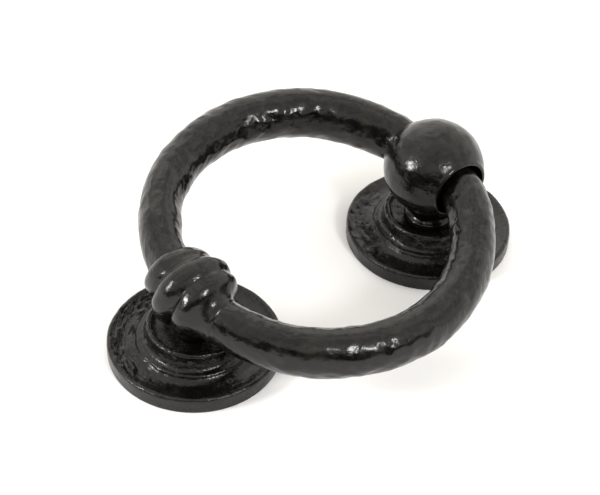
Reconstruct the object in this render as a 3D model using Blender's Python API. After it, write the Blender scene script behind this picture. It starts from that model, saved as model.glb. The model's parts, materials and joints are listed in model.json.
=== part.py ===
"""Ring door knocker in forged and cast iron.

A ring swings in a bored ball that stands on the pivot rose. A beaded knuckle closes the ring and strikes a domed
stud on the strike rose. Metres, with +Y up the door, +Z away from it and z = 0 on the door's face. The origin is
midway between the two roses.
"""

import math

import bmesh
import bpy
from mathutils import Euler, Matrix, Vector

MM = 0.001
GAP = 0.3 * MM  # kept between pieces that touch

# Door side
ROSE_SPACING = 108.0 * MM
ROSE_RADIUS = 31.5 * MM
ROSE_FACE_HEIGHT = 5.3 * MM
ROSE_RIM_RISE = 1.0 * MM  # the rim stands above the face
ROSE_EDGE = 1.2 * MM  # rounding of the rim and of the boss
ROSE_FOOT_EDGE = 0.5 * MM
BOSS_BASE_RADIUS = 21.2 * MM
BOSS_BASE_HEIGHT = 7.4 * MM
BOSS_BASE_EDGE = 0.7 * MM
BOSS_RADIUS = 17.4 * MM
BOSS_HEIGHT = 13.8 * MM
BOSS_CREST = 1.9 * MM  # from the boss's side in to its dished face
DISH_DEPTH = 3.9 * MM
BACK_RIM_WIDTH = 6.5 * MM
BACK_HOLLOW_DEPTH = 2.7 * MM
BACK_DRAFT = 0.6 * MM  # slope of the hollow's walls
SPANNER_ROOM = 5.6 * MM  # round the washer

# Fixings
SPIGOT_RADIUS = 4.0 * MM
SPIGOT_SETBACK = 0.5 * MM  # from the door's face to the spigot's end
SPIGOT_STAND = 0.2 * MM  # spigot showing past its nut
SPIGOT_CHAMFER = 0.5 * MM
TAPPED_WALL = 1.9 * MM  # of the spigot round its tapped hole
TAPPED_DEPTH = 12.0 * MM
NUT_WALL = 2.5 * MM  # from the spigot to a flat
NUT_THICKNESS = 4.0 * MM
NUT_CHAMFER = 0.6 * MM
WASHER_WIDTH = 4.0 * MM
WASHER_THICKNESS = 1.6 * MM
WASHER_EDGE = 0.3 * MM

# Post and ball
COLLAR_RADIUS = 9.8 * MM
COLLAR_THICKNESS = 2.6 * MM
COLLAR_ROOM = 0.8 * MM  # from the collar to the rise of the dished face
NECK_RADIUS = 8.4 * MM
NECK_RISE = 1.8 * MM  # from the collar's top to the narrowest part
CHIN_RISE = 4.1 * MM  # from there to where the ball's own curve starts
BALL_HEIGHT = 33.1 * MM
BALL_WALL = 8.2 * MM  # round the bore
BALL_TAPER = 0.62  # 0.5 is a true sphere, and more is slimmer towards the neck
BORE_ROOM = 1.2 * MM  # round the bar
BORE_LIP = 0.4 * MM
BORE_DROP = 0.2 * MM  # how far the bar lies under the bore's axis

# Ring, its knuckle and the stud that it strikes
RING_OVERHANG = 2.8 * MM  # the ring's middle line outside the roses' middles
RING_HANG = 0.7 * MM  # and the ring hangs this far down in the bore
BAR_HALF_WIDTH = 8.2 * MM  # in the plane of the ring
BAR_HALF_DEPTH = 9.5 * MM  # across it
BAR_SWELL = 0.055  # thicker towards the ball, thinner towards the knuckle
BAR_WAVE = 0.03  # twice round the ring
BAR_WAVE_START = math.radians(105)
JOURNAL_WAIST = 0.05  # the bar is drawn down where it passes through the ball
JOURNAL_SPREAD = math.radians(22)
JOURNAL_FLAT = 1.2 * MM  # the ring is flattened by this much there
JOURNAL_REACH = 13.0 * MM  # each way along it, and pushed out a little beyond
JOURNAL_BEND = math.radians(9)  # and bent back towards the bore's line
BEND_SPREAD = 28.0 * MM
RING_LEAN = math.radians(8.5)  # the ring's play in the bore lets its +X side drop
RING_SLIP = 2.2 * MM  # the knuckle's middle lies this far to +X of the stud
TENON_RADIUS = 6.2 * MM
BEAD_WIDTHS = (8.0 * MM, 8.8 * MM, 6.4 * MM)
BEAD_RADII = (12.6 * MM, 15.3 * MM, 13.8 * MM)
GROOVE_RADII = (10.3 * MM, 11.9 * MM, 12.6 * MM, 12.0 * MM)
BEAD_INSET = 1.2 * MM  # the beads sit towards the ring's middle
BEAD_LIFT = 0.8 * MM  # and away from the door
SKIRT_LENGTH = 5.5 * MM
SKIRT_RADIUS = 9.2 * MM
PIN_RADIUS = 2.0 * MM
PIN_DEPTH = 4.0 * MM  # past the middle of the tenon
PIN_RECESS = 0.4 * MM
STUD_RADIUS = 7.0 * MM
STUD_HEIGHT = 16.1 * MM
STUD_DOME = 2.7 * MM
STUD_EDGE = 0.4 * MM
STUD_TIP = 1.5 * MM  # solid metal between the tapped hole and the dome

ROSE_SEGMENTS = 48
POST_SEGMENTS = 40
BALL_STEPS = 13
RING_STEPS = 76
TENON_STEPS = 5
BAR_SEGMENTS = 18
BEAD_STEPS = 6
SMALL_SEGMENTS = 24

# Worked out from the sizes above
HOLE_RADIUS = SPIGOT_RADIUS + GAP
TAPPED_RADIUS = SPIGOT_RADIUS - TAPPED_WALL
NUT_CORNER_RADIUS = (SPIGOT_RADIUS + NUT_WALL) / math.cos(math.pi / 6)
WASHER_RADIUS = SPIGOT_RADIUS + WASHER_WIDTH
NUT_BASE = SPIGOT_SETBACK + SPIGOT_STAND
NUT_HOLLOW_RADIUS = WASHER_RADIUS + SPANNER_ROOM
NUT_HOLLOW_DEPTH = NUT_BASE + NUT_THICKNESS + WASHER_THICKNESS + 2 * GAP
DISH_RADIUS = COLLAR_RADIUS + COLLAR_ROOM
DISH_HEIGHT = BOSS_HEIGHT - DISH_DEPTH
SHOULDER = DISH_HEIGHT + GAP  # the post's and the stud's underside
COLLAR_TOP = SHOULDER + COLLAR_THICKNESS
NECK_HEIGHT = COLLAR_TOP + NECK_RISE
BORE_RADIUS = BAR_HALF_DEPTH + BORE_ROOM
BALL_RADIUS = BORE_RADIUS + BALL_WALL
RING_RADIUS = ROSE_SPACING / 2 + RING_OVERHANG  # to the middle of the bar
SLEEVE_RADIUS = TENON_RADIUS + GAP
PIVOT = Vector((0, ROSE_SPACING / 2, 0))
STRIKE = Vector((0, -ROSE_SPACING / 2, 0))
BALL_CENTRE = PIVOT + Vector((0, 0, BALL_HEIGHT))

COAT = (0.035, 0.034, 0.032)
ZINC = (0.52, 0.53, 0.54)


def material(name, colour, roughness, metallic):
    made = bpy.data.materials.new(name)
    made.use_nodes = True
    shader = made.node_tree.nodes["Principled BSDF"]
    shader.inputs["Base Color"].default_value = (*colour, 1)
    shader.inputs["Roughness"].default_value = roughness
    shader.inputs["Metallic"].default_value = metallic
    return made


def placed(name, mesh_maker, finish, location=(0, 0, 0), parent=None):
    """An object whose mesh the maker fills in, smooth but for its sharp edges."""
    mesh = bpy.data.meshes.new(name)
    bm = bmesh.new()
    mesh_maker(bm)
    bmesh.ops.recalc_face_normals(bm, faces=bm.faces)
    bm.to_mesh(mesh)
    bm.free()
    mesh.shade_smooth()
    mesh.set_sharp_from_angle(angle=math.radians(35))
    if finish:
        mesh.materials.append(finish)
    made = bpy.data.objects.new(name, mesh)
    bpy.context.scene.collection.objects.link(made)
    made.location = location
    made.parent = parent
    return made


def cutter(name, mesh_maker, location=(0, 0, 0), parent=None):
    made = placed(name, mesh_maker, None, location, parent)
    made.hide_render = True
    made.display_type = "WIRE"
    return made


def boolean(target, other, operation="DIFFERENCE"):
    made = target.modifiers.new(other.name, "BOOLEAN")
    made.operation = operation
    made.object = other
    made.solver = "EXACT"


def turn(bm, profile, segments, axis="Z", closed=True):
    """Turns (radius, height) points about an axis. An open profile starts and ends on the axis."""
    if axis == "Z":
        points = [Vector((r, 0, h)) for r, h in profile]
    else:
        points = [Vector((h, 0, r)) for r, h in profile]
    verts = [bm.verts.new(point) for point in points]
    edges = [bm.edges.new(pair) for pair in zip(verts, verts[1:])]
    if closed:
        edges.append(bm.edges.new((verts[-1], verts[0])))
    bmesh.ops.spin(
        bm,
        geom=verts + edges,
        cent=(0, 0, 0),
        axis=(0, 0, 1) if axis == "Z" else (1, 0, 0),
        angle=2 * math.pi,
        steps=segments,
        use_merge=True,
    )
    bmesh.ops.remove_doubles(bm, verts=bm.verts, dist=1e-6)


def arc(centre, radii, start, end, steps):
    """(radius, height) points on an ellipse about a centre, with angles in degrees."""
    angles = [math.radians(start + (end - start) * k / steps) for k in range(steps + 1)]
    return [(centre[0] + radii[0] * math.cos(a), centre[1] + radii[1] * math.sin(a)) for a in angles]


def evenly(start, end, steps):
    return [start + (end - start) * k / steps for k in range(steps + 1)]


def rose(bm):
    """A rose with a hollow back: dished face, rounded rim, two-step boss with a dished top, flat rim behind."""
    edge = ROSE_EDGE
    base_edge = BOSS_BASE_EDGE
    profile = [(HOLE_RADIUS, DISH_HEIGHT)]
    dish_run = BOSS_RADIUS - BOSS_CREST - DISH_RADIUS
    profile += arc((DISH_RADIUS, BOSS_HEIGHT), (dish_run, DISH_DEPTH), -90, -12, 4)
    profile += arc((BOSS_RADIUS - edge, BOSS_HEIGHT - edge), (edge, edge), 100, 0, 3)
    cove_run = BOSS_BASE_RADIUS - 1.5 * base_edge - BOSS_RADIUS
    cove_top = BOSS_HEIGHT - edge
    cove_rise = cove_top - BOSS_BASE_HEIGHT
    profile += arc((BOSS_RADIUS + cove_run, cove_top), (cove_run, cove_rise), 195, 270, 3)
    base_middle = (BOSS_BASE_RADIUS - base_edge, BOSS_BASE_HEIGHT - base_edge)
    profile += arc(base_middle, (base_edge, base_edge), 80, 0, 2)
    face_start = BOSS_BASE_RADIUS + base_edge
    face_width = ROSE_RADIUS - edge - face_start
    profile.append((face_start, ROSE_FACE_HEIGHT + 0.2 * ROSE_RIM_RISE))
    profile.append((face_start + 0.2 * face_width, ROSE_FACE_HEIGHT - 0.3 * ROSE_RIM_RISE))
    profile.append((face_start + 0.7 * face_width, ROSE_FACE_HEIGHT))
    rim_top = ROSE_FACE_HEIGHT + ROSE_RIM_RISE
    profile += arc((ROSE_RADIUS - edge, rim_top - edge), (edge, edge), 95, 0, 3)
    profile.append((ROSE_RADIUS, ROSE_FOOT_EDGE))
    profile.append((ROSE_RADIUS - ROSE_FOOT_EDGE, 0))
    profile.append((ROSE_RADIUS - BACK_RIM_WIDTH, 0))
    profile.append((ROSE_RADIUS - BACK_RIM_WIDTH - BACK_DRAFT, BACK_HOLLOW_DEPTH))
    profile.append((NUT_HOLLOW_RADIUS + BACK_DRAFT, BACK_HOLLOW_DEPTH))
    profile.append((NUT_HOLLOW_RADIUS, NUT_HOLLOW_DEPTH))
    profile.append((HOLE_RADIUS, NUT_HOLLOW_DEPTH))
    turn(bm, profile, ROSE_SEGMENTS)


def spigot(depth):
    """The threaded spigot with its tapped hole, from the hole's end on the axis out to the shoulder."""
    return [
        (0, SPIGOT_SETBACK + depth),
        (TAPPED_RADIUS, SPIGOT_SETBACK + depth - TAPPED_RADIUS / 2),
        (TAPPED_RADIUS, SPIGOT_SETBACK),
        (SPIGOT_RADIUS - SPIGOT_CHAMFER, SPIGOT_SETBACK),
        (SPIGOT_RADIUS, SPIGOT_SETBACK + SPIGOT_CHAMFER),
        (SPIGOT_RADIUS, SHOULDER),
    ]


def ball_radius_at(height):
    """The ball is round above its middle and slimmer below it."""
    rise = (height - BALL_HEIGHT) / BALL_RADIUS
    power = 0.5 if rise > 0 else BALL_TAPER
    return BALL_RADIUS * max(0, 1 - rise * rise) ** power


def post(bm):
    chin = NECK_HEIGHT + CHIN_RISE
    edge = 0.25 * COLLAR_THICKNESS
    profile = spigot(TAPPED_DEPTH)
    profile.append((COLLAR_RADIUS - edge, SHOULDER))
    profile.append((COLLAR_RADIUS, SHOULDER + edge))
    profile.append((COLLAR_RADIUS, COLLAR_TOP - 1.3 * edge))
    profile.append((COLLAR_RADIUS - edge, COLLAR_TOP))
    profile.append((NECK_RADIUS + 0.04 * NECK_RADIUS, NECK_HEIGHT - 0.6 * NECK_RISE))
    profile.append((NECK_RADIUS, NECK_HEIGHT))
    profile.append((NECK_RADIUS + 0.04 * NECK_RADIUS, NECK_HEIGHT + 0.3 * CHIN_RISE))
    profile.append(((NECK_RADIUS + ball_radius_at(chin)) / 2, NECK_HEIGHT + 0.65 * CHIN_RISE))
    start = math.asin((chin - BALL_HEIGHT) / BALL_RADIUS)
    for angle in evenly(start, math.pi / 2, BALL_STEPS)[:-1]:
        height = BALL_HEIGHT + BALL_RADIUS * math.sin(angle)
        profile.append((ball_radius_at(height), height))
    profile.append((0, BALL_HEIGHT + BALL_RADIUS))
    turn(bm, profile, POST_SEGMENTS, closed=False)


def bore(bm):
    """The cross bore, opened out at both mouths."""
    mouth = math.sqrt(BALL_RADIUS**2 - BORE_RADIUS**2)
    outside = BALL_RADIUS * 1.2
    flared = BORE_RADIUS + BORE_LIP
    profile = [
        (0, -outside),
        (flared + 0.6 * (outside - mouth), -outside),
        (flared, -mouth),
        (BORE_RADIUS, -mouth + 1.8 * BORE_LIP),
        (BORE_RADIUS, mouth - 1.8 * BORE_LIP),
        (flared, mouth),
        (flared + 0.6 * (outside - mouth), outside),
        (0, outside),
    ]
    turn(bm, profile, POST_SEGMENTS, axis="X", closed=False)


def stud(bm):
    profile = spigot(STUD_HEIGHT - STUD_DOME - SPIGOT_SETBACK - STUD_TIP)
    profile.append((STUD_RADIUS - STUD_EDGE, SHOULDER))
    profile.append((STUD_RADIUS, SHOULDER + STUD_EDGE))
    profile += arc((0, STUD_HEIGHT - STUD_DOME), (STUD_RADIUS, STUD_DOME), 0, 90, 5)[:-1]
    profile.append((0, STUD_HEIGHT))
    turn(bm, profile, SMALL_SEGMENTS, closed=False)


def washer(bm):
    top = NUT_HOLLOW_DEPTH - GAP
    bottom = top - WASHER_THICKNESS
    profile = [
        (HOLE_RADIUS, top),
        (WASHER_RADIUS - WASHER_EDGE, top),
        (WASHER_RADIUS, top - WASHER_EDGE),
        (WASHER_RADIUS, bottom + WASHER_EDGE),
        (WASHER_RADIUS - WASHER_EDGE, bottom),
        (HOLE_RADIUS, bottom),
    ]
    turn(bm, profile, SMALL_SEGMENTS)


def nut(bm):
    made = bmesh.ops.create_cone(
        bm,
        cap_ends=True,
        segments=6,
        radius1=NUT_CORNER_RADIUS,
        radius2=NUT_CORNER_RADIUS,
        depth=NUT_THICKNESS,
    )
    bmesh.ops.translate(bm, verts=made["verts"], vec=(0, 0, NUT_BASE + NUT_THICKNESS / 2))


def nut_envelope(bm):
    """The turned shape that a nut is cut to: chamfered corners outside, the thread's hole inside."""
    top = NUT_BASE + NUT_THICKNESS
    reach = NUT_CORNER_RADIUS + GAP
    inner = reach - 2 * (NUT_CHAMFER + MM)
    profile = [
        (HOLE_RADIUS, NUT_BASE - MM),
        (HOLE_RADIUS, top + MM),
        (inner, top + MM),
        (reach, top - NUT_CHAMFER),
        (reach, NUT_BASE + NUT_CHAMFER),
        (inner, NUT_BASE - MM),
    ]
    turn(bm, profile, SMALL_SEGMENTS)


def fixing(side, rose_at, finish):
    """The washer and the nut that hold a post or stud to its rose."""
    placed(f"{side}_washer", washer, finish, rose_at)
    made = placed(f"{side}_nut", nut, finish, rose_at)
    boolean(made, cutter(f"{side}_nut_shape", nut_envelope, rose_at), "INTERSECT")


def bar_half_sizes(theta):
    """Half width and half depth of the bar at an angle round the ring. The ball is at 90 degrees."""
    swell = 1 + BAR_SWELL * math.sin(theta) + BAR_WAVE * math.sin(2 * (theta - BAR_WAVE_START))
    away = (theta - math.pi / 2) / JOURNAL_SPREAD
    swell *= 1 - JOURNAL_WAIST * math.exp(-away * away)
    return BAR_HALF_WIDTH * swell, BAR_HALF_DEPTH * swell


def bar_middle(theta):
    """How far the bar's middle line is outside the ring's circle and above its plane."""
    along = (theta - math.pi / 2) * RING_RADIUS
    reach = (along / JOURNAL_REACH) ** 2
    outward = -JOURNAL_FLAT * (1 - reach) * math.exp(-reach / 2)
    near = math.exp(-((along / BEND_SPREAD) ** 2))
    return outward, math.tan(JOURNAL_BEND) * RING_RADIUS * math.cos(theta) * near


def bead_edges():
    """Where each bead starts and ends along the ring, from the knuckle's middle, which is the middle bead's."""
    left = -BEAD_WIDTHS[1] / 2 - BEAD_WIDTHS[0]
    edges = [left]
    for width in BEAD_WIDTHS:
        edges.append(edges[-1] + width)
    return edges


def knuckle_ends():
    edges = bead_edges()
    return edges[0], edges[-1] + SKIRT_LENGTH


def along_ring(distance):
    """The angle round the ring at a distance from the knuckle's middle."""
    return -math.pi / 2 + distance / RING_RADIUS


def ring_bar(bm):
    """The bar from one tenon round to the other, in the ring's own plane."""
    left, right = knuckle_ends()
    start, end = along_ring(right + GAP), along_ring(left - GAP) + 2 * math.pi
    middle = along_ring(0)
    joint = GAP / 2 / RING_RADIUS
    tenon = (TENON_RADIUS, TENON_RADIUS)
    stations = [(theta, tenon) for theta in evenly(middle + joint, start, TENON_STEPS)]
    stations += [(theta, bar_half_sizes(theta)) for theta in evenly(start, end, RING_STEPS)]
    stations += [(theta, tenon) for theta in evenly(end, middle - joint + 2 * math.pi, TENON_STEPS)]

    def section(theta, half_sizes):
        out = Vector((math.cos(theta), math.sin(theta), 0))
        outward, upward = bar_middle(theta)
        for k in range(BAR_SEGMENTS):
            turned = 2 * math.pi * k / BAR_SEGMENTS
            reach = RING_RADIUS + outward + half_sizes[0] * math.cos(turned)
            yield out * reach + Vector((0, 0, upward + half_sizes[1] * math.sin(turned)))

    loop = [bm.verts.new(point) for point in section(*stations[0])]
    bm.faces.new(loop)
    edges = [bm.edges.get((a, b)) for a, b in zip(loop, loop[1:] + loop[:1])]
    for station in stations[1:]:
        grown = bmesh.ops.extrude_edge_only(bm, edges=edges)["geom"]
        follows = {}
        for edge in (item for item in grown if isinstance(item, bmesh.types.BMEdge)):
            for vert in edge.verts:
                follows[vert] = None
        near = {vert: vert.co.copy() for vert in follows}
        moved = []
        for old, point in zip(loop, section(*station)):
            new = min(near, key=lambda vert: (near[vert] - old.co).length)
            del near[new]
            new.co = point
            moved.append(new)
        loop = moved
        edges = [bm.edges.get((a, b)) for a, b in zip(loop, loop[1:] + loop[:1])]
    bm.faces.new(loop)


def knuckle_sleeve(bm):
    """Three beads and a skirt, bored for the tenons, then bent to the ring."""
    edges = bead_edges()
    left, right = knuckle_ends()
    profile = [(SLEEVE_RADIUS, left)]
    for index, radius in enumerate(BEAD_RADII):
        middle = (edges[index] + edges[index + 1]) / 2
        for across in evenly(-1, 1, BEAD_STEPS)[bool(index) :]:
            groove = GROOVE_RADII[index + (across > 0)]
            height = radius - (radius - groove) * abs(across) ** 2.4
            profile.append((height, middle + across * BEAD_WIDTHS[index] / 2))
    fall = GROOVE_RADII[-1] - SKIRT_RADIUS
    for share in evenly(0, 1, 4)[1:]:
        profile.append((SKIRT_RADIUS + fall * (1 - share) ** 2.4, edges[-1] + SKIRT_LENGTH * share))
    profile += [(SLEEVE_RADIUS, distance) for distance in evenly(right, left, 2 * TENON_STEPS)[:-1]]
    turn(bm, profile, SMALL_SEGMENTS, axis="X")
    for vert in bm.verts:
        radius = math.hypot(vert.co.y, vert.co.z)
        outside = min(1, (radius - SLEEVE_RADIUS) / (SKIRT_RADIUS - SLEEVE_RADIUS))
        beyond = max(0, vert.co.x - edges[-1]) / SKIRT_LENGTH
        offset = outside * (1 - min(1, beyond)) ** 2
        theta = along_ring(vert.co.x)
        reach = RING_RADIUS - vert.co.y - BEAD_INSET * offset
        vert.co = Vector((reach * math.cos(theta), reach * math.sin(theta), vert.co.z + BEAD_LIFT * offset))


def pin(radius, bottom, top):
    def maker(bm):
        bmesh.ops.create_cone(
            bm,
            cap_ends=True,
            segments=SMALL_SEGMENTS // 2,
            radius1=radius,
            radius2=radius,
            depth=top - bottom,
            matrix=Matrix.Translation((0, 0, (top + bottom) / 2)),
        )

    return maker


def ring_placement():
    """The ring's turn, and its centre from the ball's centre, so that it lies in the bore and on the stud."""
    knuckle_height = STUD_HEIGHT + GAP + (BEAD_RADII[1] - BEAD_LIFT) / math.cos(RING_LEAN)
    top_height = BALL_HEIGHT - BORE_DROP
    pitch = math.asin((top_height - knuckle_height) / (2 * RING_RADIUS))
    slip = Matrix.Rotation(RING_SLIP / RING_RADIUS, 3, "Z")
    turned = Euler((pitch, RING_LEAN, 0)).to_matrix() @ slip
    centre = Vector((0, -RING_HANG, (top_height + knuckle_height) / 2))
    return turned, centre - BALL_CENTRE


def ring(finish):
    turned, centre = ring_placement()
    pivot = bpy.data.objects.new("ring_pivot", None)
    bpy.context.scene.collection.objects.link(pivot)
    pivot.location = BALL_CENTRE
    pivot.rotation_euler = turned.to_euler()
    local = turned.transposed() @ centre

    bar = placed("ring_bar", ring_bar, finish, local, pivot)
    sleeve = placed("knuckle_sleeve", knuckle_sleeve, finish, local, pivot)
    edges = bead_edges()
    for name, index in (("left", 0), ("right", 2)):
        theta = along_ring((edges[index] + edges[index + 1]) / 2)
        at = local + RING_RADIUS * Vector((math.cos(theta), math.sin(theta), 0))
        surface = BEAD_LIFT - BEAD_RADII[index]
        placed(f"knuckle_pin_{name}", pin(PIN_RADIUS, surface + PIN_RECESS, PIN_DEPTH), finish, at, pivot)
        hole = cutter(
            f"pin_hole_{name}",
            pin(PIN_RADIUS + GAP, surface - MM, PIN_DEPTH + GAP),
            at,
            pivot,
        )
        boolean(bar, hole)
        boolean(sleeve, hole)


def main():
    for old in list(bpy.data.objects):
        bpy.data.objects.remove(old)
    iron = material("black_iron", COAT, 0.32, 0.4)
    zinc = material("zinc_steel", ZINC, 0.38, 1.0)
    placed("pivot_rose", rose, iron, PIVOT)
    standing = placed("pivot_post", post, iron, PIVOT)
    boolean(standing, cutter("ring_bore", bore, BALL_CENTRE))
    fixing("pivot", PIVOT, zinc)
    placed("strike_rose", rose, iron, STRIKE)
    placed("strike_stud", stud, iron, STRIKE)
    fixing("strike", STRIKE, zinc)
    ring(iron)


main()
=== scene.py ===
"""Ring door knocker: a forged ring, its beaded knuckle, the ball post, two stepped roses and their fixings.

Metres throughout, with +Y up the door, +Z away from it and the door's face at z = 0.
"""

import json
import math

import bmesh
import bpy
from mathutils import Euler, Matrix, Vector, noise


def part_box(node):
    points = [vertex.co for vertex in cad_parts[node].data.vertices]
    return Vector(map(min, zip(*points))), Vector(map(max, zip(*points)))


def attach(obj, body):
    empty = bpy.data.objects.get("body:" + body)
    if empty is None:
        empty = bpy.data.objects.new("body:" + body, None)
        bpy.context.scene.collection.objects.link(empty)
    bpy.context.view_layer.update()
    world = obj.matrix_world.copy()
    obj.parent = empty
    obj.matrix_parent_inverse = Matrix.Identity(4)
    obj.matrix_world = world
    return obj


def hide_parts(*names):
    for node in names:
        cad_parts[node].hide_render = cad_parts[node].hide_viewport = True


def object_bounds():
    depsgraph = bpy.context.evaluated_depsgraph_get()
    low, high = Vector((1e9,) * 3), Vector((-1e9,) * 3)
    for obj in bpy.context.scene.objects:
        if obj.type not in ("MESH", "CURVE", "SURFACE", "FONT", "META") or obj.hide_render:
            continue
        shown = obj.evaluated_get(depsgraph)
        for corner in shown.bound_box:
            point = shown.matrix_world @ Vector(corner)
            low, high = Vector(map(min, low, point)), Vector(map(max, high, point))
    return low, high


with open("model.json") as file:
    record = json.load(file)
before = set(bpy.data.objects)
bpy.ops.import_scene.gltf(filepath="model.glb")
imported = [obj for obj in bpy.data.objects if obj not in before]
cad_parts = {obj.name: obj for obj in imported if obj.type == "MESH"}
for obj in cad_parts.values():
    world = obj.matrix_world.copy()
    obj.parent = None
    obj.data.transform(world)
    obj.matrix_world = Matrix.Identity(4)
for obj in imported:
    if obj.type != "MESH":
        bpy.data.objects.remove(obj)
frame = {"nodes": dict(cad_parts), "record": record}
cad_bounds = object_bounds()

MM = 0.001
GAP = 0.3 * MM  # between pieces that touch

# Places read from the frame
SWING = next(joint for joint in frame["record"]["behaviour"]["joints"] if joint["name"] == "ring_swing")
BALL_CENTRE = Vector(SWING["pos_m"])
PIVOT = Vector((BALL_CENTRE.x, BALL_CENTRE.y, 0))
STRIKE = Vector((BALL_CENTRE.x, -BALL_CENTRE.y, 0))
BALL_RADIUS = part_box("pivot_post")[1].z - BALL_CENTRE.z
STUD_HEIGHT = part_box("strike_stud")[1].z
ROSE_RADIUS = (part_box("pivot_rose")[1].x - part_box("pivot_rose")[0].x) / 2
BOSS_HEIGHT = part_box("pivot_rose")[1].z
SPIGOT_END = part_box("pivot_post")[0].z
WASHER_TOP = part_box("pivot_washer")[1].z
WASHER_RADIUS = (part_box("pivot_washer")[1].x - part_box("pivot_washer")[0].x) / 2

# Rose
FACE_HEIGHT = 5.3 * MM
RIM_RISE = 1.0 * MM
ROSE_EDGE = 1.2 * MM
FOOT_EDGE = 0.5 * MM
BASE_RADIUS = 21.2 * MM
BASE_HEIGHT = 7.4 * MM
BASE_EDGE = 1.0 * MM
BOSS_RADIUS = 17.4 * MM
BOSS_CREST = 1.9 * MM
DISH_RADIUS = 10.6 * MM
DISH_DEPTH = 3.9 * MM
DISH_HEIGHT = BOSS_HEIGHT - DISH_DEPTH
COVE_DROP = 0.3 * MM
# The face's dip between its base and its rim: (share of its width, height above the face in rim rises)
FACE_DIP = ((0.06, 0.05), (0.2, -0.3), (0.45, -0.25), (0.7, 0.1))
BACK_RIM_WIDTH = 6.5 * MM
BACK_HOLLOW_DEPTH = 2.7 * MM
BACK_DRAFT = 0.6 * MM
SPANNER_ROOM = 5.6 * MM
SPIGOT_RADIUS = 4.0 * MM
HOLE_RADIUS = SPIGOT_RADIUS + GAP
TAPPED_RADIUS = 2.1 * MM
TAPPED_DEPTH = 12.0 * MM
SHOULDER = DISH_HEIGHT + GAP

# Post
COLLAR_RADIUS = 9.8 * MM
COLLAR_THICKNESS = 2.6 * MM
NECK_RADIUS = 8.0 * MM
NECK_HEIGHT = SHOULDER + COLLAR_THICKNESS + 1.8 * MM
CHIN_HEIGHT = NECK_HEIGHT + 5.2 * MM
BALL_TAPER = 0.74
BORE_RADIUS = 10.7 * MM
BORE_LIP = 0.45 * MM
STUD_RADIUS = 7.0 * MM
STUD_DOME = 2.7 * MM

# Ring and knuckle
RING_OVERHANG = 2.8 * MM
RING_HANG = 0.7 * MM
RING_RADIUS = BALL_CENTRE.y + RING_OVERHANG
HALF_WIDTH = 8.2 * MM
HALF_DEPTH = 9.5 * MM
SWELL = 0.055
WAVE = 0.03
WAVE_START = math.radians(105)
JOURNAL_WAIST = 0.05
JOURNAL_SPREAD = math.radians(22)
JOURNAL_FLAT = 1.2 * MM
JOURNAL_REACH = 13.0 * MM
JOURNAL_BEND = math.radians(9)
BEND_SPREAD = 28.0 * MM
LEAN = math.radians(8.5)
SLIP = 2.2 * MM
BORE_DROP = 0.2 * MM
TENON_RADIUS = 6.2 * MM
BEAD_WIDTHS = (8.0 * MM, 8.8 * MM, 6.4 * MM)
BEAD_RADII = (12.6 * MM, 15.3 * MM, 13.8 * MM)
GROOVE_RADII = (10.3 * MM, 11.9 * MM, 12.6 * MM, 12.0 * MM)
BEAD_INSET = 1.2 * MM
BEAD_LIFT = 0.8 * MM
SKIRT_LENGTH = 5.5 * MM
SKIRT_PROUD = 0.4 * MM
SKIRT_OVER = 1.6 * MM  # how far the coat carries the skirt's end over the bar's shoulder

# Studio: the side that opens onto the dim room, and the lights as (name, direction, size, power)
OPEN_SIDE = (0.79, -0.61, 0.0)
HORIZON_LIFT = 0.68  # how much further up the dim room reaches on the open side
AIR_STRENGTH = 1.3
ROOM_DARK = (0.03, 0.034, 0.044)
PAPER_PALE = (1.0, 0.965, 0.905)
LIGHT_DISTANCE = 1.2
FLASHES = (
    ("left_flash", (-0.247, -0.859, 0.452), 0.25, 6.6),
    ("right_flash", (0.804, -0.011, 0.594), 0.25, 6.2),
)

# Camera: beyond the strike side, to the lower right of the door, looking down
CAMERA_AZIMUTH = math.radians(52.182)
CAMERA_ELEVATION = math.radians(42.794)
CAMERA_ROLL = math.radians(2.302)
CAMERA_TARGET = Vector((-8.8 * MM, -1.135 * MM, 15 * MM))
CAMERA_DISTANCE = 0.667467
CAMERA_LENS = 108

ROUGH_SIDE = math.radians(222)  # where the roses' casting skin is roughest

RING_STEPS = 600
TENON_STEPS = 12
SPIN_GAP_STEPS = 20
BAR_SEGMENTS = 128
SLEEVE_SEGMENTS = 128
ROSE_SEGMENTS = 288
POST_VOXEL = 0.42 * MM


# ---------------------------------------------------------------- materials


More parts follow.
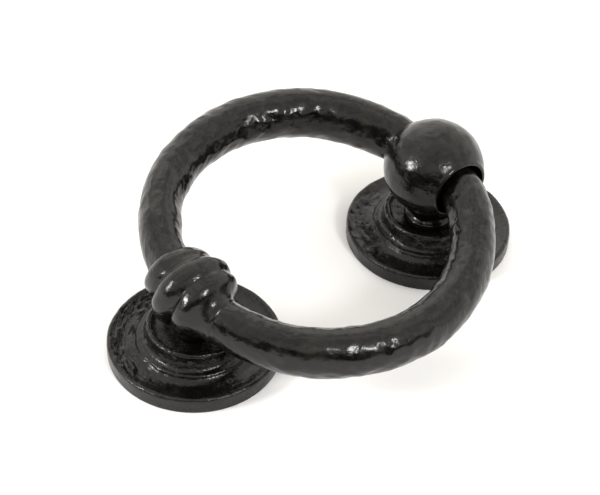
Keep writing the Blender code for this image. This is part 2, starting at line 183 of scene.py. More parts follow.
class Nodes:
    """Adds nodes to the tree of one material or world and links them."""

    def __init__(self, owner):
        owner.use_nodes = True
        self.owner = owner
        self.tree = owner.node_tree
        self.shader = self.tree.nodes.get("Principled BSDF")

    def add(self, kind, settings=None, **inputs):
        node = self.tree.nodes.new(kind)
        for key, value in (settings or {}).items():
            setattr(node, key, value)
        for key, value in inputs.items():
            self.feed(node.inputs[key.replace("_", " ")], value)
        return node

    def feed(self, socket, value):
        if isinstance(value, bpy.types.NodeSocket):
            self.tree.links.new(value, socket)
        else:
            socket.default_value = value

    def place(self):
        return self.add("ShaderNodeTexCoord").outputs["Object"]

    def cloud(self, scale, detail=3.0, roughness=0.55, distortion=0.0):
        """Noise with a feature size of about 1 / scale metres."""
        return self.add(
            "ShaderNodeTexNoise",
            Vector=self.place(),
            Scale=scale,
            Detail=detail,
            Roughness=roughness,
            Distortion=distortion,
        ).outputs["Fac"]

    def ramp(self, value, stops):
        """A colour ramp, as (place, grey or colour) stops."""
        node = self.add("ShaderNodeValToRGB", Fac=value)
        marks = node.color_ramp.elements
        while len(marks) < len(stops):
            marks.new(0.5)
        for mark, (where, colour) in zip(marks, stops):
            mark.position = where
            mark.color = (colour, colour, colour, 1) if isinstance(colour, (int, float)) else (*colour, 1)
        return node.outputs["Color"]

    def mix(self, factor, a, b):
        node = self.add("ShaderNodeMix", {"data_type": "RGBA"})
        self.feed(node.inputs["Factor"], factor)
        self.feed(node.inputs["A"], a)
        self.feed(node.inputs["B"], b)
        return node.outputs["Result"]

    def sums(self, operation, *values):
        node = self.add("ShaderNodeMath", {"operation": operation})
        for socket, value in zip(node.inputs, values):
            self.feed(socket, value)
        return node.outputs[0]

    def bump(self, height, depth, strength=1.0, normal=None):
        node = self.add("ShaderNodeBump", Height=height, Distance=depth, Strength=strength)
        if normal:
            self.feed(node.inputs["Normal"], normal)
        return node.outputs["Normal"]


def black_coat(name, smoothest, roughest, skin):
    """Thick black coat, a little rubbed and dusty. The skin's grain shows through it by a depth in metres."""
    made = Nodes(bpy.data.materials.new(name))
    shader = made.shader
    patches = made.cloud(150, 5, 0.65, 0.6)
    fine = made.cloud(700, 3, 0.6)
    black, worn, dusty = (0.0014, 0.0014, 0.0015), (0.0032, 0.0029, 0.0025), (0.010, 0.0085, 0.0065)
    tint = made.ramp(patches, [(0.36, black), (0.52, worn), (0.7, dusty)])
    specks = made.ramp(made.cloud(1900, 2, 0.7), [(0.66, 0.0), (0.78, 1.0)])
    made.feed(shader.inputs["Base Color"], made.mix(specks, tint, (0.010, 0.009, 0.008, 1)))
    gloss = made.ramp(made.sums("MULTIPLY", patches, fine), [(0.14, smoothest), (0.4, roughest)])
    made.feed(shader.inputs["Roughness"], gloss)
    shader.inputs["IOR"].default_value = 1.42
    ripples = made.bump(made.cloud(280, 2.5, 0.45, 0.7), 0.0004, 0.5)
    made.feed(shader.inputs["Normal"], made.bump(made.cloud(900, 3, 0.6, 0.4), skin, 0.5, ripples))
    return made.owner


def zinc_plate():
    """Bright zinc plating with fine marks, a little dulled."""
    made = Nodes(bpy.data.materials.new("zinc_plate"))
    shader = made.shader
    colour = made.ramp(made.cloud(260, 4), [(0.3, (0.40, 0.41, 0.42)), (0.7, (0.60, 0.61, 0.61))])
    made.feed(shader.inputs["Base Color"], colour)
    shader.inputs["Metallic"].default_value = 1.0
    made.feed(shader.inputs["Roughness"], made.ramp(made.cloud(1300, 2), [(0.3, 0.26), (0.7, 0.44)]))
    made.feed(shader.inputs["Normal"], made.bump(made.cloud(2400, 2, 0.6), 0.00003, 0.5))
    return made.owner


def paper_white():
    """Matt white studio paper, lit a little from behind."""
    made = Nodes(bpy.data.materials.new("pale_floor"))
    shader = made.shader
    tone = made.ramp(made.cloud(3.0, 2), [(0.3, (0.86, 0.86, 0.86)), (0.7, (0.88, 0.88, 0.88))])
    made.feed(shader.inputs["Base Color"], tone)
    shader.inputs["Roughness"].default_value = 0.75
    shader.inputs["Specular IOR Level"].default_value = 0.2
    shader.inputs["Emission Color"].default_value = (1, 1, 1, 1)
    shader.inputs["Emission Strength"].default_value = 0.08
    return made.owner


# ---------------------------------------------------------------- mesh helpers


def linked(name, data):
    """A new object in the scene, made from a mesh, light or camera."""
    made = bpy.data.objects.new(name, data)
    bpy.context.scene.collection.objects.link(made)
    return made


def meshed(name, bm):
    """A mesh made from a bmesh, which is used up."""
    mesh = bpy.data.meshes.new(name)
    bm.to_mesh(mesh)
    bm.free()
    return mesh


def finished(name, bm, finish, nodes, body, sharp=50):
    """Turns a bmesh into a piece that stands for CAD nodes and moves with a body."""
    bmesh.ops.remove_doubles(bm, verts=bm.verts, dist=1e-6)
    bmesh.ops.recalc_face_normals(bm, faces=bm.faces)
    mesh = meshed(name, bm)
    mesh.shade_smooth()
    mesh.set_sharp_from_angle(angle=math.radians(sharp))
    mesh.materials.append(finish)
    made = linked(name, mesh)
    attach(made, body)
    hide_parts(*nodes)
    return made


def turned(profile, segments, closed=True, axis="Z"):
    """A bmesh turned from (radius, height) points. An open profile starts and ends on the axis."""
    bm = bmesh.new()
    upright = axis == "Z"
    verts = [bm.verts.new((r, 0, h) if upright else (h, 0, r)) for r, h in profile]
    edges = [bm.edges.new(pair) for pair in zip(verts, verts[1:])]
    if closed:
        edges.append(bm.edges.new((verts[-1], verts[0])))
    bmesh.ops.spin(
        bm,
        geom=verts + edges,
        cent=(0, 0, 0),
        axis=(0, 0, 1) if upright else (1, 0, 0),
        angle=2 * math.pi,
        steps=segments,
        use_merge=True,
    )
    bmesh.ops.remove_doubles(bm, verts=bm.verts, dist=1e-6)
    return bm


def arc(centre, radii, start, end, steps):
    """Points along part of an ellipse, from a start to an end angle in degrees."""
    angles = [math.radians(start + (end - start) * k / steps) for k in range(steps + 1)]
    return [(centre[0] + radii[0] * math.cos(a), centre[1] + radii[1] * math.sin(a)) for a in angles]


def evenly(start, end, steps):
    """Values from start to end, both included."""
    return [start + (end - start) * k / steps for k in range(steps + 1)]


def dense(profile, spacing):
    """Puts more points along a profile, so that no two are further apart than the spacing."""
    found = [profile[0]]
    for (r0, h0), (r1, h1) in zip(profile, profile[1:]):
        count = max(1, math.ceil(math.hypot(r1 - r0, h1 - h0) / spacing))
        for share in evenly(0, 1, count)[1:]:
            found.append((r0 + (r1 - r0) * share, h0 + (h1 - h0) * share))
    return found


def softened(profile, passes):
    """Rounds the corners of a profile's stretch above its foot and outside its dish."""
    points = list(profile)
    for _ in range(passes):
        rounded = list(points)
        for index in range(1, len(points) - 1):
            (r0, h0), (r, h), (r1, h1) = points[index - 1 : index + 2]
            if r > DISH_RADIUS and h > FOOT_EDGE + 2 * MM:
                rounded[index] = ((r0 + 2 * r + r1) / 4, (h0 + 2 * h + h1) / 4)
        points = rounded
    return points


def smooth(value, low, high):
    """Rises smoothly from 0 at low to 1 at high."""
    share = min(1, max(0, (value - low) / (high - low)))
    return share * share * (3 - 2 * share)


def grain(place, size, seed=0.0):
    """Smooth noise from -1 to 1 with lumps of a size in metres."""
    return noise.noise(place / size + Vector((seed, 1.7 * seed, -0.6 * seed)))


def forged(place, seed):
    """How far hammering and thick paint move the surface, in metres."""
    broad = 0.26 * grain(place, 13 * MM, seed) + 0.19 * grain(place, 6.5 * MM, seed + 9)
    cells = noise.voronoi(place / (8.5 * MM) + Vector((seed, 0, seed)))[0]
    facet = 0.16 * (1 - smooth(cells[1] - cells[0], 0, 0.55)) - 0.08
    fine = 0.12 * grain(place, 4.2 * MM, seed + 15) + 0.02 * grain(place, 2.4 * MM, seed + 21)
    return (broad + facet + fine) * MM


def pits(place, size, threshold, depth, seed):
    """Small pits where the noise is above a threshold."""
    return -depth * smooth(grain(place, size, seed), threshold, threshold + 0.3)


# ---------------------------------------------------------------- ring


def ring_turn():
    """The ring's turn and the place of its centre at rest."""
    knuckle_height = STUD_HEIGHT + GAP + (BEAD_RADII[1] - BEAD_LIFT) / math.cos(LEAN)
    top_height = BALL_CENTRE.z - BORE_DROP
    pitch = math.asin((top_height - knuckle_height) / (2 * RING_RADIUS))
    slip = Matrix.Rotation(SLIP / RING_RADIUS, 3, "Z")
    turn = Euler((pitch, LEAN, 0)).to_matrix() @ slip
    return turn, Vector((0, -RING_HANG, (top_height + knuckle_height) / 2))


RING_TURN, RING_CENTRE = ring_turn()


def to_ring_place(bm):
    for vert in bm.verts:
        vert.co = RING_TURN @ vert.co + RING_CENTRE


def half_sizes(theta):
    """The bar's half width and half depth at an angle round the ring."""
    swell = 1 + SWELL * math.sin(theta) + WAVE * math.sin(2 * (theta - WAVE_START))
    away = (theta - math.pi / 2) / JOURNAL_SPREAD
    swell *= 1 - JOURNAL_WAIST * math.exp(-away * away)
    return HALF_WIDTH * swell, HALF_DEPTH * swell


def bar_middle(theta):
    """How far the bar's middle line is outside the ring's circle and above its plane."""
    along = (theta - math.pi / 2) * RING_RADIUS
    reach = (along / JOURNAL_REACH) ** 2
    outward = -JOURNAL_FLAT * (1 - reach) * math.exp(-reach / 2)
    near = math.exp(-((along / BEND_SPREAD) ** 2))
    return outward, math.tan(JOURNAL_BEND) * RING_RADIUS * math.cos(theta) * near


def bead_edges():
    """Where the beads start and end along the knuckle, with the middle bead's middle at 0."""
    edges = [-BEAD_WIDTHS[1] / 2 - BEAD_WIDTHS[0]]
    for width in BEAD_WIDTHS:
        edges.append(edges[-1] + width)
    return edges


EDGES = bead_edges()
KNUCKLE_LEFT = EDGES[0]
KNUCKLE_RIGHT = EDGES[-1] + SKIRT_LENGTH


def along_ring(distance):
    """The angle round the ring at a distance along it from the knuckle's middle."""
    return -math.pi / 2 + distance / RING_RADIUS


def bar_stations():
    """(angle, whether it is on a tenon) from one tenon's end round to the other's."""
    start = along_ring(KNUCKLE_RIGHT + GAP)
    end = along_ring(KNUCKLE_LEFT - GAP) + 2 * math.pi
    joint = GAP / 2 / RING_RADIUS
    middle = along_ring(0)
    first = [(theta, True) for theta in evenly(middle + joint, start, TENON_STEPS)]
    round_ring = [(theta, False) for theta in evenly(start, end, RING_STEPS)]
    last = [(theta, True) for theta in evenly(end, middle - joint + 2 * math.pi, TENON_STEPS)]
    return first + round_ring + last


# Crumples that the hammer left: (angle round the ring, angle round the bar, size, depth), in degrees and mm
CRUMPLES = (
    (157, 150, 4.2, 0.9),
    (163, 135, 3.4, -0.8),
    (168, 155, 4.6, 0.8),
    (175, 140, 3.6, -0.7),
    (182, 150, 4.4, 0.7),
    (150, 165, 3.0, -0.5),
    (188, 165, 4.0, 0.6),
    (112, 150, 3.2, -0.9),
    (107, 165, 2.6, 0.6),
    (212, 175, 5.0, 0.6),
    (222, 150, 4.0, -0.6),
    (236, 170, 5.0, 0.6),
    (250, 165, 4.0, -0.5),
    (64, 170, 3.6, 0.5),
    (52, 175, 4.2, -0.6),
    (-20, -35, 4.6, -0.5),
    (5, -30, 4.4, 0.5),
    (24, -25, 5.2, -0.5),
    (-38, -48, 4.6, 0.5),
    (-52, -52, 4.0, -0.5),
)


def crumple(theta, phi, half_depth):
    """The crumples' depth at a point of the bar, with creases across them."""
    moved = 0.0
    for ring_angle, bar_angle, size, depth in CRUMPLES:
        along = math.remainder(theta - math.radians(ring_angle), 2 * math.pi) * RING_RADIUS / MM
        across = math.remainder(phi - math.radians(bar_angle), 2 * math.pi) * half_depth / MM
        far = (along * along + across * across) / (size * size)
        if far < 6:
            crease = noise.noise(Vector((along * 0.28 + across * 0.16, across * 0.3, ring_angle)))
            moved += math.exp(-far) * (0.6 * depth + 0.6 * abs(depth) * crease)
    return moved * MM


def ring_bar(finish):
    """The bar: a circle spun round the ring, then each station made its oval, bent and hammered.

    The spin stops short of a full turn, so that every station has its own angle to be found by.
    """
    stations = bar_stations()
    bm = bmesh.new()
    section = bmesh.ops.create_circle(bm, segments=BAR_SEGMENTS, radius=MM, cap_ends=False)["verts"]
    bmesh.ops.rotate(bm, verts=section, cent=(0, 0, 0), matrix=Matrix.Rotation(math.pi / 2, 3, "X"))
    bmesh.ops.translate(bm, verts=section, vec=(RING_RADIUS, 0, 0))
    step = 2 * math.pi / (len(stations) + SPIN_GAP_STEPS)
    bmesh.ops.spin(
        bm,
        geom=section + list(bm.edges),
        cent=(0, 0, 0),
        axis=(0, 0, 1),
        angle=step * (len(stations) - 1),
        steps=len(stations) - 1,
    )
    for vert in bm.verts:
        x, y, z = vert.co
        station = round((math.atan2(y, x) % (2 * math.pi)) / step)
        theta, tenon = stations[station if station < len(stations) else 0]
        phi = math.atan2(z, math.hypot(x, y) - RING_RADIUS)
        half_width, half_depth = (TENON_RADIUS, TENON_RADIUS) if tenon else half_sizes(theta)
        out = Vector((math.cos(theta), math.sin(theta), 0))
        outward, upward = (0, 0) if tenon else bar_middle(theta)
        centre = out * (RING_RADIUS + outward) + Vector((0, 0, upward))
        away = out * (half_width * math.cos(phi)) + Vector((0, 0, half_depth * math.sin(phi)))
        place = centre + away
        if not tenon:
            normal = out * (math.cos(phi) / half_width) + Vector((0, 0, math.sin(phi) / half_depth))
            normal.normalize()
            in_ball = math.exp(-(((theta - math.pi / 2) / math.radians(21)) ** 4))
            streak = Vector((theta * 9 + 1.2 * math.sin(phi), 1.5 * math.cos(phi), 1.5 * math.sin(phi)))
            wrinkle = 0.16 * MM * noise.noise(streak * 1.8) + 0.05 * MM * noise.noise(streak * 3.4)
            wrinkle *= 0.5 + smooth(grain(place, 16 * MM, 61.0), -0.3, 0.4)
            move = forged(place, 3.0) + wrinkle + crumple(theta, phi, half_depth)
            place = place + normal * (move * (1 - 0.8 * in_ball) - 0.12 * MM * in_ball)
        vert.co = place
    for loop in end_loops(bm):
        bm.faces.new(loop)
    to_ring_place(bm)
    return finished("ring_bar_forged", bm, finish, ["ring_bar"], "ring", 60)


def end_loops(bm):
    """The rings of vertices at a tube's two open ends."""
    bm.verts.index_update()
    edges = {edge for edge in bm.edges if len(edge.link_faces) == 1}
    while edges:
        first = edges.pop()
        loop = list(first.verts)
        while True:
            onward = [edge for edge in loop[-1].link_edges if edge in edges]
            if not onward:
                break
            edges.discard(onward[0])
            nearer = onward[0].other_vert(loop[-1])
            if nearer is loop[0]:
                break
            loop.append(nearer)
        yield loop


def bead_height(distance, phi):
    """Outside radius of the knuckle at a distance along it. The beads run into each other over its top."""
    deep = 1 - 0.86 * smooth(math.sin(phi - 0.35), -0.2, 0.85)
    for index, radius in enumerate(BEAD_RADII):
        if distance <= EDGES[index + 1]:
            middle = (EDGES[index] + EDGES[index + 1]) / 2
            across = (distance - middle) / (BEAD_WIDTHS[index] / 2)
            side = index + (across > 0)
            groove = GROOVE_RADII[side]
            mark = 0
            if 0 < side < 3:
                bridge = (BEAD_RADII[side - 1] + BEAD_RADII[side]) / 2 - 0.4 * MM
                groove += (bridge - groove) * (1 - deep)
                mark = (0.15 + 0.5 * deep**2) * MM * smooth(abs(across), 0.55, 1.0)
            return radius - (radius - groove) * abs(across) ** 2.1 - mark
    return GROOVE_RADII[-1]


def knuckle(finish):
    """Beads and skirt, hammered, with a bore for the tenons, bent to the ring."""
    hole = TENON_RADIUS + GAP
    skirt_end = KNUCKLE_RIGHT + SKIRT_OVER
    outside = evenly(KNUCKLE_LEFT, skirt_end, 110)
    inside = [KNUCKLE_RIGHT - 0.1 * MM] + evenly(KNUCKLE_RIGHT - MM, KNUCKLE_LEFT, 20)[:-1]
    profile = [(hole, KNUCKLE_LEFT), (GROOVE_RADII[0] - 0.9 * MM, KNUCKLE_LEFT)]
    profile += [(GROOVE_RADII[0], distance) for distance in outside[1:-1]]
    profile += [(hole, distance) for distance in inside]
    bm = turned(profile, SLEEVE_SEGMENTS, axis="X")
    for vert in bm.verts:
        x, y, z = vert.co
        radius = math.hypot(y, z)
        phi = math.atan2(z, -y)
        theta = along_ring(x)
        offset = 0
        if radius > hole + 0.1 * MM:
            beyond = min(1, max(0, x - EDGES[-1]) / SKIRT_LENGTH)
            bead = 1 - smooth(beyond, 0, 1)
            if x > KNUCKLE_LEFT + 0.01 * MM:
                radius = bead_height(x, phi)
            half_width, half_depth = half_sizes(theta)
            stretch = math.hypot(half_depth * math.cos(phi), half_width * math.sin(phi))
            oval = half_width * half_depth / stretch
            sink = smooth(x, KNUCKLE_RIGHT - 0.6 * MM, skirt_end - 0.2 * MM)
            skirt = oval + SKIRT_PROUD * (1 - 2.6 * sink)
            radius = skirt + (radius - skirt) * (1 - beyond) ** 2.4
            place = Vector((x, radius * math.cos(phi), radius * math.sin(phi)))
            skew = 1.1 * MM * math.sin(phi - 0.7) * bead * (1 - smooth(-x, 10 * MM, 12.4 * MM))
            x += skew + 0.35 * MM * grain(place, 7 * MM, 5.0) * bead
            radius += forged(place, 12.0) * (0.35 + 0.5 * bead) * (1 - sink)
            offset = (1 - beyond) ** 2
            theta = along_ring(x)
        reach = RING_RADIUS + radius * math.cos(phi) - BEAD_INSET * offset
        vert.co = Vector(
            (reach * math.cos(theta), reach * math.sin(theta), radius * math.sin(phi) + BEAD_LIFT * offset)
        )
    to_ring_place(bm)
    return finished("knuckle_beads", bm, finish, ["knuckle_sleeve"], "ring", 60)


# ---------------------------------------------------------------- door side


def rose_profile():
    """The rose's closed profile: its hole, dish, boss, cove, base, face and rim, then its back."""
    edge = ROSE_EDGE
    dish_run = BOSS_RADIUS - BOSS_CREST - DISH_RADIUS
    front = [(HOLE_RADIUS, DISH_HEIGHT)]
    front += arc((DISH_RADIUS, BOSS_HEIGHT), (dish_run, DISH_DEPTH), -90, -8, 16)
    front += arc((BOSS_RADIUS - edge, BOSS_HEIGHT - edge), (edge, edge), 112, -8, 10)
    cove_run = BASE_RADIUS - BOSS_RADIUS - 1.5 * BASE_EDGE
    cove_top = BOSS_HEIGHT - edge - COVE_DROP
    front += arc((BOSS_RADIUS + cove_run, cove_top), (cove_run, cove_top - BASE_HEIGHT), 190, 268, 12)
    front += arc((BASE_RADIUS - BASE_EDGE, BASE_HEIGHT - BASE_EDGE), (BASE_EDGE, BASE_EDGE), 95, -8, 7)
    face_start = BASE_RADIUS + BASE_EDGE
    face_width = ROSE_RADIUS - edge - face_start
    front.append((face_start - 0.3 * MM, FACE_HEIGHT + 0.45 * RIM_RISE))
    for share, rise in FACE_DIP:
        front.append((face_start + share * face_width, FACE_HEIGHT + rise * RIM_RISE))
    rim_top = FACE_HEIGHT + RIM_RISE
    front += arc((ROSE_RADIUS - edge, rim_top - edge), (edge, edge), 112, 0, 12)
    front.append((ROSE_RADIUS, FOOT_EDGE))
    front += arc((ROSE_RADIUS - FOOT_EDGE, FOOT_EDGE), (FOOT_EDGE, FOOT_EDGE), -20, -90, 4)
    back_edge = ROSE_RADIUS - BACK_RIM_WIDTH
    nut_room = WASHER_RADIUS + SPANNER_ROOM
    hollow_top = WASHER_TOP + GAP
    back = [
        (back_edge, 0),
        (back_edge - BACK_DRAFT, BACK_HOLLOW_DEPTH),
        (nut_room + BACK_DRAFT, BACK_HOLLOW_DEPTH),
        (nut_room, hollow_top),
        (HOLE_RADIUS, hollow_top),
    ]
    return softened(dense(front, 0.45 * MM), 4) + dense(back, 1.2 * MM)


def rose(name, node, centre, seed, rough, finish):
    """A cast rose with worn crests, wrinkles round its face and pits, mostly on its rough side."""
    bm = turned(rose_profile(), ROSE_SEGMENTS)
    for vert in bm.verts:
        x, y, z = vert.co
        radius = math.hypot(x, y)
        inside_back = radius < WASHER_RADIUS + SPANNER_ROOM + MM and z < DISH_HEIGHT - 0.5 * MM
        inside_hole = radius <= BOSS_RADIUS - 6 * MM and z <= DISH_HEIGHT - MM
        shown = 0 if inside_back or inside_hole else smooth(z, 0.6 * MM, 3.0 * MM)
        if shown <= 0:
            continue
        angle = math.atan2(y, x)
        place = Vector((x, y, z))
        round_face = Vector((radius * 0.9, angle * 9 * MM, z))
        past_base = smooth(radius, BASE_RADIUS, BASE_RADIUS + 2 * MM)
        on_face = past_base * (1 - smooth(radius, ROSE_RADIUS - 1.6 * MM, ROSE_RADIUS))
        rough_side = rough * smooth(math.cos(angle - ROUGH_SIDE), 0.2, 0.9)
        lift = forged(place, seed) * 0.3
        lift += 0.05 * MM * noise.noise(Vector((angle * 5, radius / (2.2 * MM), seed)))
        lift += pits(place, 1.9 * MM, 0.26, 0.34 * MM, seed + 4) * 0.3
        lift += pits(round_face, 1.5 * MM, 0.0, 0.6 * MM, seed + 5) * on_face * rough_side
        lift += (0.06 + 0.08 * rough_side) * MM * on_face * grain(place, 2.4 * MM, seed + 7)
        nick = 0.35 * MM * smooth(grain(place, 3.1 * MM, seed + 2), 0.2, 0.6)
        side = 0.28 * MM * grain(place, 8 * MM, seed + 11) + 0.12 * MM * grain(place, 3 * MM, seed + 13)
        side -= nick * (1 - on_face) * smooth(z, 5 * MM, 7 * MM)
        # The worn skin fades out round the collar, and the rim keeps its outline.
        worn = shown * smooth(radius, HOLE_RADIUS + 5.2 * MM, HOLE_RADIUS + 7.2 * MM)
        off_rim = smooth(ROSE_RADIUS - radius, -0.2 * MM, 0.6 * MM)
        out = Vector((math.cos(angle), math.sin(angle), 0))
        vert.co = place + Vector((0, 0, lift * worn)) + out * (side * worn * (0.25 + 0.75 * off_rim))
        vert.co.z = min(vert.co.z, BOSS_HEIGHT + 0.15 * MM)
    bmesh.ops.translate(bm, verts=bm.verts, vec=centre)
    return finished(name, bm, finish, [node], "door_side", 60)


def spigot(depth):
    """The profile of a spigot with its tapped hole, from the hole's end on the axis out to the shoulder."""
    hole_end = SPIGOT_END + depth
    points = [(0, hole_end), (TAPPED_RADIUS, hole_end - TAPPED_RADIUS / 2)]
    points += [(TAPPED_RADIUS, height) for height in evenly(hole_end - 2 * MM, SPIGOT_END + 0.3 * MM, 20)]
    points.append((TAPPED_RADIUS + 0.3 * MM, SPIGOT_END))
    points.append((SPIGOT_RADIUS - 0.5 * MM, SPIGOT_END))
    points.append((SPIGOT_RADIUS, SPIGOT_END + 0.5 * MM))
    points.append((SPIGOT_RADIUS, SHOULDER))
    return points


def ball_radius_at(height):
    """The ball is round above its middle and draws in towards its neck below."""
    rise = (height - BALL_CENTRE.z) / BALL_RADIUS
    power = 0.5 if rise > 0 else BALL_TAPER
    return BALL_RADIUS * max(0, 1 - rise * rise) ** power


def bore_tool():
    """The cross bore with rounded mouths, as a cutter along X."""
    mouth = math.sqrt(BALL_RADIUS**2 - BORE_RADIUS**2)
    outside = BALL_RADIUS * 1.2
    lip = BORE_LIP
    half = [(BORE_RADIUS, mouth - 2.6 * lip)]
    half += arc((BORE_RADIUS + 2.2 * lip, mouth - 1.9 * lip), (2.2 * lip, 2.2 * lip), 180, 128, 6)[1:]
    half.append((half[-1][0] + 0.9 * (outside - half[-1][1]), outside))
    profile = [(0, -outside)] + [(r, -h) for r, h in reversed(half)] + half + [(0, outside)]
    bm = turned(profile, 128, closed=False, axis="X")
    bmesh.ops.recalc_face_normals(bm, faces=bm.faces)
    bmesh.ops.translate(bm, verts=bm.verts, vec=BALL_CENTRE)
    return linked("bore_tool", meshed("bore_tool", bm))


def applied(made):
    """Replaces an object's mesh with what its modifiers make of it."""
    graph = bpy.context.evaluated_depsgraph_get()
    mesh = bpy.data.meshes.new_from_object(made.evaluated_get(graph), depsgraph=graph)
    old = made.data
    made.modifiers.clear()
    made.data = mesh
    bpy.data.meshes.remove(old)


def post(finish):
    """Ball, neck and collar in one, bored for the ring, with its surface remeshed evenly and softened."""
    collar_top = SHOULDER + COLLAR_THICKNESS
    profile = spigot(TAPPED_DEPTH)
    profile += arc((COLLAR_RADIUS - 0.7 * MM, SHOULDER + 0.7 * MM), (0.7 * MM, 0.7 * MM), -90, 0, 4)
    profile += arc((COLLAR_RADIUS - 0.9 * MM, collar_top - 0.9 * MM), (0.9 * MM, 0.9 * MM), 0, 80, 5)
    profile.append((NECK_RADIUS + 0.35 * MM, NECK_HEIGHT - 1.1 * MM))
    profile.append((NECK_RADIUS, NECK_HEIGHT))
    profile.append((NECK_RADIUS + 0.35 * MM, NECK_HEIGHT + 1.3 * MM))
    profile.append(((NECK_RADIUS + ball_radius_at(CHIN_HEIGHT)) / 2 - 0.1 * MM, NECK_HEIGHT + 2.7 * MM))
    start = math.asin((CHIN_HEIGHT - BALL_CENTRE.z) / BALL_RADIUS)
    for angle in evenly(start, math.pi / 2, 64)[:-1]:
        height = BALL_CENTRE.z + BALL_RADIUS * math.sin(angle)
        profile.append((ball_radius_at(height), height))
    profile.append((0, BALL_CENTRE.z + BALL_RADIUS))
    bm = turned(profile, 160, closed=False)
    bmesh.ops.recalc_face_normals(bm, faces=bm.faces)
    bmesh.ops.translate(bm, verts=bm.verts, vec=PIVOT)
    rough = linked("rough_post", meshed("rough_post", bm))
    tool = bore_tool()
    cut = rough.modifiers.new("bore", "BOOLEAN")
    cut.operation = "DIFFERENCE"
    cut.object = tool
    cut.solver = "EXACT"
    even = rough.modifiers.new("even", "REMESH")
    even.mode = "VOXEL"
    even.voxel_size = POST_VOXEL
    soften = rough.modifiers.new("soften", "SMOOTH")
    soften.factor = 0.5
    soften.iterations = 3
    applied(rough)
    bm = bmesh.new()
    bm.from_mesh(rough.data)
    bpy.data.objects.remove(rough)
    bpy.data.objects.remove(tool)
    bm.normal_update()
    moves = []
    for vert in bm.verts:
        local = vert.co - PIVOT
        shown = smooth(local.z, SHOULDER - 0.4 * MM, SHOULDER + 1.2 * MM)
        from_bore = math.hypot(local.y, local.z - BALL_CENTRE.z)
        inside = 1 - smooth(from_bore, BORE_RADIUS + 0.3 * MM, BORE_RADIUS + 1.6 * MM)
        on_ball = smooth(local.z, NECK_HEIGHT, NECK_HEIGHT + 6 * MM)
        lift = forged(local, 31.0) * (0.9 - 0.4 * on_ball) * (1 - inside)
        if (local - Vector((0, 0, BALL_CENTRE.z))).length > 0.94 * BALL_RADIUS:
            lift += 0.32 * MM * math.exp(-(((from_bore - BORE_RADIUS) / MM - 1.1) ** 2) / 0.4)
        lift += pits(local, 2.0 * MM, 0.42, 0.2 * MM, 37.0) * (1 - 0.7 * on_ball)
        moves.append(vert.normal * (lift * shown))
    for vert, move in zip(bm.verts, moves):
        vert.co += move
        vert.co.z = min(vert.co.z, BALL_CENTRE.z + BALL_RADIUS)
    return finished("ball_post", bm, finish, ["pivot_post"], "door_side", 70)


def stud(finish):
    """The stub that the knuckle strikes, with a worn domed top."""
    profile = spigot(STUD_HEIGHT - STUD_DOME - SPIGOT_END - 1.5 * MM)
    profile += arc((STUD_RADIUS - 0.5 * MM, SHOULDER + 0.5 * MM), (0.5 * MM, 0.5 * MM), -90, 0, 4)
    profile += arc((0, STUD_HEIGHT - STUD_DOME), (STUD_RADIUS, STUD_DOME), 0, 90, 22)[:-1]
    profile.append((0, STUD_HEIGHT))
    bm = turned(dense(profile, 0.5 * MM), 96, closed=False)
    for vert in bm.verts:
        x, y, z = vert.co
        shown = smooth(z, SHOULDER + 0.5 * MM, SHOULDER + 2 * MM)
        centred = smooth(math.hypot(x, y), 0, 2 * MM)
        vert.co += Vector((x, y, 0)) * (0.03 * grain(vert.co, 5 * MM, 41.0) * shown)
        vert.co.z -= 0.12 * MM * shown * centred * abs(grain(vert.co, 3 * MM, 43.0))
    bmesh.ops.translate(bm, verts=bm.verts, vec=STRIKE)
    return finished("strike_stub", bm, finish, ["strike_stud"], "door_side", 60)


# ---------------------------------------------------------------- studio


def studio():
    bm = bmesh.new()
    bmesh.ops.create_grid(bm, x_segments=8, y_segments=8, size=1.6)
    floor = linked("floor", meshed("floor", bm))
    floor.data.materials.append(paper_white())
    floor.location.z = cad_bounds[0][2] - 0.02 * MM

    air()

    for name, direction, size, power in FLASHES:
        light = bpy.data.lights.new(name, "AREA")
        light.shape = "DISK"
        light.size = size
        light.energy = power
        lamp = linked(name, light)
        toward = Vector(direction).normalized()
        lamp.location = toward * LIGHT_DISTANCE
        lamp.rotation_euler = toward.to_track_quat("Z", "Y").to_euler()


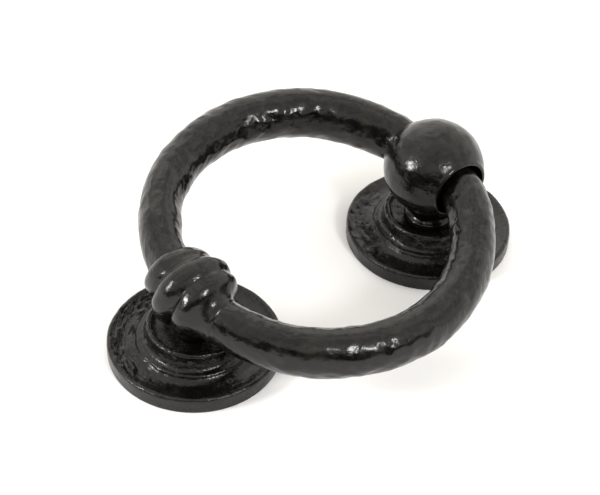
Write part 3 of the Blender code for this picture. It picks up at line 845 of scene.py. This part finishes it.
def air():
    """Studio air: pale paper sweeping up behind, and a dim room on the open side."""
    made = Nodes(bpy.data.worlds.new("studio_air"))
    bpy.context.scene.world = made.owner
    direction = made.add("ShaderNodeTexCoord").outputs["Generated"]
    height = made.add("ShaderNodeSeparateXYZ", Vector=direction).outputs["Z"]
    toward = made.add("ShaderNodeVectorMath", {"operation": "DOT_PRODUCT"})
    made.feed(toward.inputs[0], direction)
    made.feed(toward.inputs[1], OPEN_SIDE)
    facing = toward.outputs["Value"]
    # The room is dark near the horizon.
    lowered = made.sums("MULTIPLY_ADD", made.sums("MAXIMUM", facing, 0.0), -HORIZON_LIFT, height)
    colour = made.ramp(made.sums("ADD", lowered, 0.5), [(0.28, ROOM_DARK), (0.46, PAPER_PALE)])
    # The paper is brighter than the room, and both are patchy.
    paper = made.sums("MULTIPLY_ADD", facing, -0.3 * AIR_STRENGTH, 1.05 * AIR_STRENGTH)
    panels = made.add("ShaderNodeTexNoise", Vector=direction, Scale=4.5, Detail=2.0).outputs["Fac"]
    patchy = made.add("ShaderNodeMapRange", Value=panels, From_Min=0.35, From_Max=0.65)
    made.feed(patchy.inputs["To Min"], 0.5)
    made.feed(patchy.inputs["To Max"], 1.3)
    back = made.tree.nodes["Background"]
    made.feed(back.inputs["Color"], colour)
    made.feed(back.inputs["Strength"], made.sums("MULTIPLY", paper, patchy.outputs[0]))
    plain = made.add("ShaderNodeBackground", Color=(1, 1, 1, 1), Strength=1.1)
    seen = made.add("ShaderNodeLightPath").outputs["Is Camera Ray"]
    mixed = made.add("ShaderNodeMixShader")
    for socket, value in zip(mixed.inputs, (seen, back.outputs[0], plain.outputs[0])):
        made.feed(socket, value)
    made.feed(made.tree.nodes["World Output"].inputs["Surface"], mixed.outputs[0])


def camera():
    back = Vector(
        (
            math.sin(CAMERA_AZIMUTH) * math.cos(CAMERA_ELEVATION),
            -math.cos(CAMERA_AZIMUTH) * math.cos(CAMERA_ELEVATION),
            math.sin(CAMERA_ELEVATION),
        )
    )
    level = Vector((math.cos(CAMERA_AZIMUTH), math.sin(CAMERA_AZIMUTH), 0))
    upright = back.cross(level)
    across = math.cos(CAMERA_ROLL) * level + math.sin(CAMERA_ROLL) * upright
    upward = -math.sin(CAMERA_ROLL) * level + math.cos(CAMERA_ROLL) * upright
    lens = bpy.data.cameras.new("camera")
    lens.lens = CAMERA_LENS
    lens.sensor_width = 36
    lens.clip_start = 0.01
    made = linked("camera", lens)
    turn = Matrix((across, upward, back)).transposed().to_4x4()
    made.matrix_world = Matrix.Translation(CAMERA_TARGET + back * CAMERA_DISTANCE) @ turn
    bpy.context.scene.camera = made


def main():
    bpy.context.scene.view_settings.view_transform = "Standard"
    coat = black_coat("black_coat", 0.14, 0.27, 0.00009)
    cast_coat = black_coat("black_coat_on_casting", 0.18, 0.34, 0.00026)
    zinc = zinc_plate()
    for node in frame["nodes"].values():
        finish = zinc if node.name.endswith(("nut", "washer")) else coat
        node.data.materials.clear()
        node.data.materials.append(finish)
    ring_bar(coat)
    knuckle(coat)
    post(coat)
    rose("pivot_rose_cast", "pivot_rose", PIVOT, 51.0, 0.45, cast_coat)
    rose("strike_rose_cast", "strike_rose", STRIKE, 77.0, 1.0, cast_coat)
    stud(coat)
    studio()
    camera()


main()
